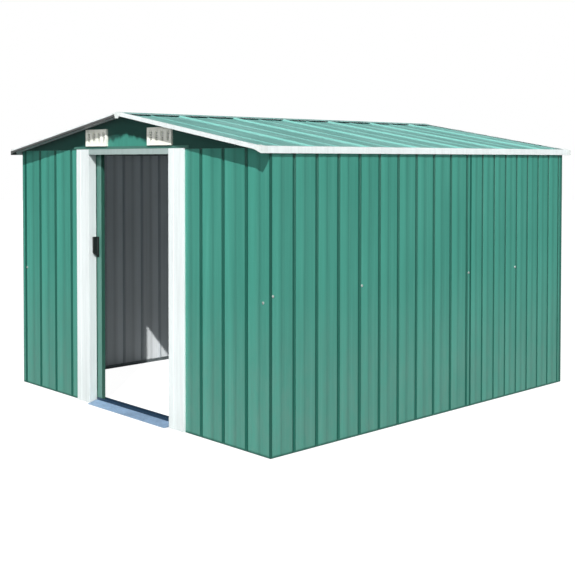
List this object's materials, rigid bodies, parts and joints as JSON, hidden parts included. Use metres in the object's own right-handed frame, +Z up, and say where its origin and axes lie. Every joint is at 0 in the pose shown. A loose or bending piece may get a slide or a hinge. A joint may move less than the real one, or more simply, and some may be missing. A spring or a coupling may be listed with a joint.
{
  "type": "metal storage shed",
  "caption": "Ribbed sheet-metal storage shed with a low gable roof, white trims, a galvanised base and a pair of sliding doors.",
  "frame": {"origin": "on the ground, at the middle of the shed's outline", "axes": "+X to the shed's right as seen from in front of the doorway, -Y out through the doorway, +Y towards the rear wall, +Z up"},
  "size_m": [2.5232, 2.8932, 1.8096],
  "materials": {
    "wall_sheet": "satin green coating on ribbed sheet, bare grey back coat inside",
    "roof_sheet": "satin pale green coating on ribbed sheet",
    "door_sheet": "satin green coating",
    "white_trim": "satin white coating on folded sheet",
    "white_plastic": "matte",
    "vent_plastic": "matte ivory",
    "galvanised": "galvanised, faint spangle",
    "sill_zinc": "galvanised, brighter and bluish",
    "black_plastic": "matte black",
    "nylon": "matte dark grey"
  },
  "bodies": {
    "shed": {"base_rail_left": "galvanised", "base_rail_right": "galvanised", "base_rail_rear": "galvanised", "base_rails_front": "galvanised", "door_sill": "sill_zinc", "corner_posts": "galvanised", "top_rails": "galvanised", "front_wall_left": "wall_sheet", "front_wall_right": "wall_sheet", "left_wall_front": "wall_sheet", "left_wall_middle": "wall_sheet", "left_wall_rear": "wall_sheet", "right_wall_front": "wall_sheet", "right_wall_middle": "wall_sheet", "right_wall_rear": "wall_sheet", "rear_wall_left": "wall_sheet", "rear_wall_middle": "wall_sheet", "rear_wall_right": "wall_sheet", "door_jamb_left": "white_trim", "door_jamb_right": "white_trim", "door_header": "white_trim", "door_track": "galvanised", "gable_front": "wall_sheet", "vents_front": "vent_plastic", "vents_rear": "vent_plastic", "ridge_beam": "galvanised", "roof_purlins": "galvanised", "roof_left_front": "roof_sheet", "roof_left_rear": "roof_sheet", "roof_right_front": "roof_sheet", "roof_right_rear": "roof_sheet", "ridge_cap": "roof_sheet", "eave_trim_left": "white_trim", "eave_trim_right": "white_trim", "rake_trims_front": "white_trim", "rake_trims_rear": "white_trim", "roof_caps": "white_plastic"},
    "door_left": {"door_left_panel": "door_sheet", "door_left_frame": "door_sheet", "door_left_handle": "black_plastic", "door_left_glides": "nylon"},
    "door_right": {"door_right_panel": "door_sheet", "door_right_frame": "door_sheet", "door_right_handle": "black_plastic", "door_right_glides": "nylon"}
  },
  "joints": [
    {"name": "door_left_slide", "type": "slide", "parent": "shed", "child": "door_left", "axis": [1, 0, 0], "range_m": [0, 0.357]},
    {"name": "door_right_slide", "type": "slide", "parent": "shed", "child": "door_right", "axis": [-1, 0, 0], "range_m": [0, 0.357]}
  ]
}
